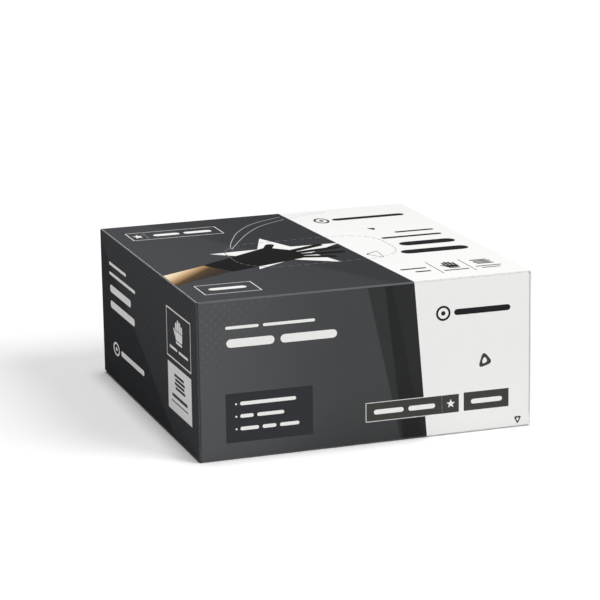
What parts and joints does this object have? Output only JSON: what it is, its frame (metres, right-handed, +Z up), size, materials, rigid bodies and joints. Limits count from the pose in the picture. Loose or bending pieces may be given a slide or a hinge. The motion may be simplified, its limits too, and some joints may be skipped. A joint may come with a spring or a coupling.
{
  "type": "disposable glove carton",
  "caption": "Folding paperboard carton of folded disposable gloves, with a tear-out cover in its top and tuck-in end flaps that swing open.",
  "frame": {"origin": "middle of the carton's underside, at the centre of its bounding box", "axes": "+X from the left end to the right end along the front, +Y from front to back, +Z up"},
  "size_m": [0.126, 0.13, 0.058],
  "materials": {
    "printed_board_dark": "offset-printed dark grey on white-lined paperboard, satin water-based varnish",
    "printed_board_white": "white-lined paperboard, satin water-based varnish",
    "inner_board": "uncoated recycled grey-brown back of the board, matt",
    "black_nitrile": "thin black nitrile film, matt with a soft sheen on its creases"
  },
  "bodies": {
    "carton": {"bottom_panel": "printed_board_white", "front_panel": "printed_board_dark", "back_panel": "printed_board_dark", "top_panel": "printed_board_dark", "glue_flap": "inner_board", "glove_pair_01": "black_nitrile", "glove_pair_02": "black_nitrile", "glove_pair_03": "black_nitrile", "glove_pair_04": "black_nitrile", "glove_pair_05": "black_nitrile", "glove_pair_06": "black_nitrile", "glove_pair_07": "black_nitrile", "glove_pair_08": "black_nitrile", "glove_pair_09": "black_nitrile", "glove_pair_10": "black_nitrile", "glove_pair_11": "black_nitrile", "glove_pair_12": "black_nitrile", "glove_pair_13": "black_nitrile", "glove_pair_14": "black_nitrile", "glove_pair_15": "black_nitrile", "glove_pair_16": "black_nitrile", "glove_pair_17": "black_nitrile", "glove_pair_18": "black_nitrile", "glove_pair_19": "black_nitrile", "glove_pair_20": "black_nitrile", "glove_pair_21": "black_nitrile", "glove_pair_22": "black_nitrile", "glove_pair_23": "black_nitrile", "glove_pair_24": "black_nitrile", "glove_pair_25": "black_nitrile"},
    "tear_out_cover": {"tear_out_cover": "printed_board_dark"},
    "left_end": {"left_end_panel": "printed_board_dark"},
    "left_tuck": {"left_tuck_flap": "inner_board"},
    "left_front_dust": {"left_front_dust_flap": "inner_board"},
    "left_back_dust": {"left_back_dust_flap": "inner_board"},
    "right_end": {"right_end_panel": "printed_board_white"},
    "right_tuck": {"right_tuck_flap": "inner_board"},
    "right_front_dust": {"right_front_dust_flap": "inner_board"},
    "right_back_dust": {"right_back_dust_flap": "inner_board"}
  },
  "joints": [
    {"name": "cover_tear_out", "type": "slide", "parent": "carton", "child": "tear_out_cover", "axis": [0, 0, 1], "range_m": [0, 0.05]},
    {"name": "left_end_opening", "type": "hinge", "parent": "carton", "child": "left_end", "pos_m": [-0.063, 0, 0.058], "axis": [0, 1, 0], "range_deg": [0, 180]},
    {"name": "left_tuck_crease", "type": "hinge", "parent": "left_end", "child": "left_tuck", "pos_m": [-0.0621, 0, 0.0008], "axis": [0, 1, 0], "range_deg": [0, 45]},
    {"name": "left_front_dust_crease", "type": "hinge", "parent": "carton", "child": "left_front_dust", "pos_m": [-0.0622, -0.0642, 0.03], "axis": [0, 0, 1], "range_deg": [0, 90]},
    {"name": "left_back_dust_crease", "type": "hinge", "parent": "carton", "child": "left_back_dust", "pos_m": [-0.0622, 0.0642, 0.03], "axis": [0, 0, -1], "range_deg": [0, 90]},
    {"name": "right_end_opening", "type": "hinge", "parent": "carton", "child": "right_end", "pos_m": [0.063, 0, 0.058], "axis": [0, -1, 0], "range_deg": [0, 180]},
    {"name": "right_tuck_crease", "type": "hinge", "parent": "right_end", "child": "right_tuck", "pos_m": [0.0621, 0, 0.0008], "axis": [0, -1, 0], "range_deg": [0, 45]},
    {"name": "right_front_dust_crease", "type": "hinge", "parent": "carton", "child": "right_front_dust", "pos_m": [0.0622, -0.0642, 0.03], "axis": [0, 0, -1], "range_deg": [0, 90]},
    {"name": "right_back_dust_crease", "type": "hinge", "parent": "carton", "child": "right_back_dust", "pos_m": [0.0622, 0.0642, 0.03], "axis": [0, 0, 1], "range_deg": [0, 90]}
  ],
  "couplings": [
    {"joint": "left_tuck_crease", "follows": "left_end_opening", "ratio": 0.25},
    {"joint": "left_front_dust_crease", "follows": "left_end_opening", "ratio": 0.5},
    {"joint": "left_back_dust_crease", "follows": "left_end_opening", "ratio": 0.5},
    {"joint": "right_tuck_crease", "follows": "right_end_opening", "ratio": 0.25},
    {"joint": "right_front_dust_crease", "follows": "right_end_opening", "ratio": 0.5},
    {"joint": "right_back_dust_crease", "follows": "right_end_opening", "ratio": 0.5}
  ]
}
